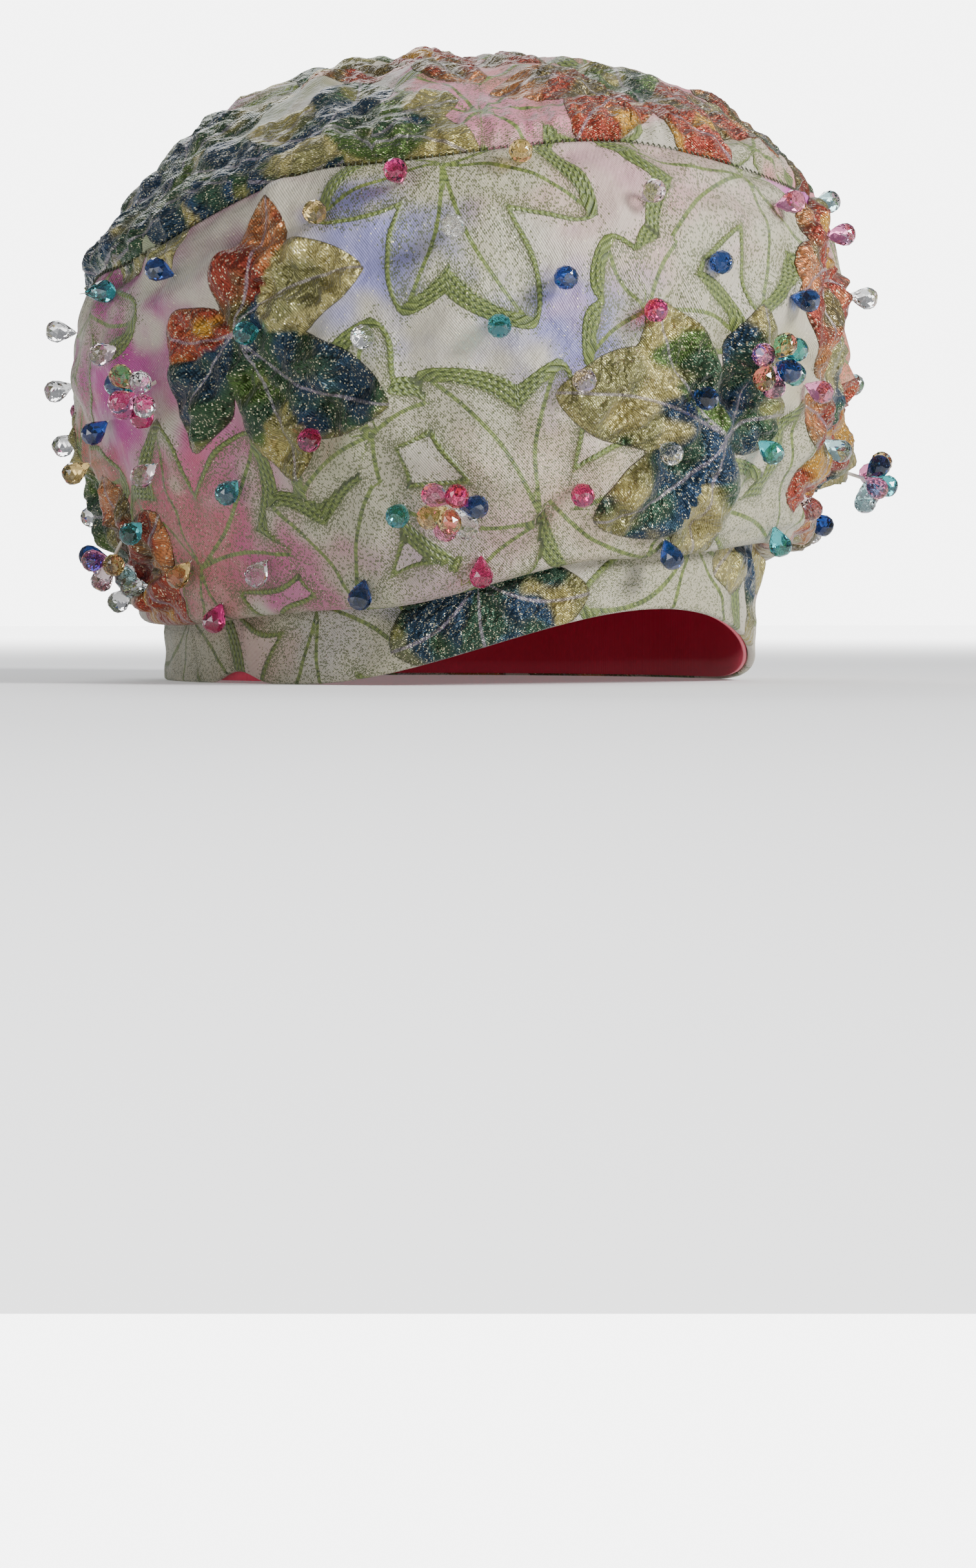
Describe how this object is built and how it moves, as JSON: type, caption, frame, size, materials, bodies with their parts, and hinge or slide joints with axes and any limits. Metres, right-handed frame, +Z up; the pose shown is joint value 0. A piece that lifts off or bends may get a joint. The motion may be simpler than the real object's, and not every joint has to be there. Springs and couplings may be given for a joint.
{
  "type": "turban hat",
  "caption": "Structured turban hat of floral brocade: tall side drape sewn to a padded crown, low head band, satin lining, and glass drops sewn all over.",
  "frame": {"origin": "middle of the foot of the hat's bounding box, on the surface that the rim rests on", "axes": "+Z up, -Y towards the wearer's front, +X towards the wearer's left"},
  "size_m": [0.2275, 0.2469, 0.1731],
  "materials": {
    "brocade": "ivory satin brocade with green embroidered leaves and puffed metallic leaves",
    "lining_satin": "crimson satin lining",
    "glass_clear": "polished facets",
    "glass_blush": "polished facets",
    "glass_pink": "polished facets",
    "glass_magenta": "polished facets",
    "glass_amber": "polished facets",
    "glass_teal": "polished facets",
    "glass_aqua": "polished facets",
    "glass_navy": "polished facets"
  },
  "bodies": {
    "root": {"side_drape": "brocade", "crown_top": "brocade", "head_band": "brocade", "lining": "lining_satin", "drop_01": "glass_magenta", "drop_02": "glass_clear", "drop_03": "glass_amber", "drop_04": "glass_amber", "drop_05": "glass_navy", "drop_06": "glass_teal", "drop_07": "glass_clear", "drop_08": "glass_clear", "drop_09": "glass_clear", "drop_10": "glass_blush", "drop_11": "glass_teal", "drop_12": "glass_clear", "drop_13": "glass_magenta", "drop_14": "glass_teal", "drop_15": "glass_blush", "drop_16": "glass_navy", "drop_17": "glass_amber", "drop_18": "glass_clear", "drop_19": "glass_magenta", "drop_20": "glass_navy", "drop_21": "glass_teal", "drop_22": "glass_magenta", "drop_23": "glass_magenta", "drop_24": "glass_navy", "drop_25": "glass_clear", "drop_26": "glass_blush", "drop_27": "glass_teal", "drop_28": "glass_navy", "drop_29": "glass_magenta", "drop_30": "glass_navy", "drop_31": "glass_blush", "drop_32": "glass_pink", "drop_33": "glass_pink", "drop_34": "glass_navy", "drop_35": "glass_pink", "drop_36": "glass_teal", "drop_37": "glass_aqua", "drop_38": "glass_navy", "drop_39": "glass_teal", "drop_40": "glass_navy", "cluster_01": "glass_magenta", "cluster_02": "glass_pink", "cluster_03": "glass_blush", "cluster_04": "glass_navy", "cluster_05": "glass_pink", "cluster_06": "glass_amber", "cluster_07": "glass_teal"}
  },
  "joints": []
}
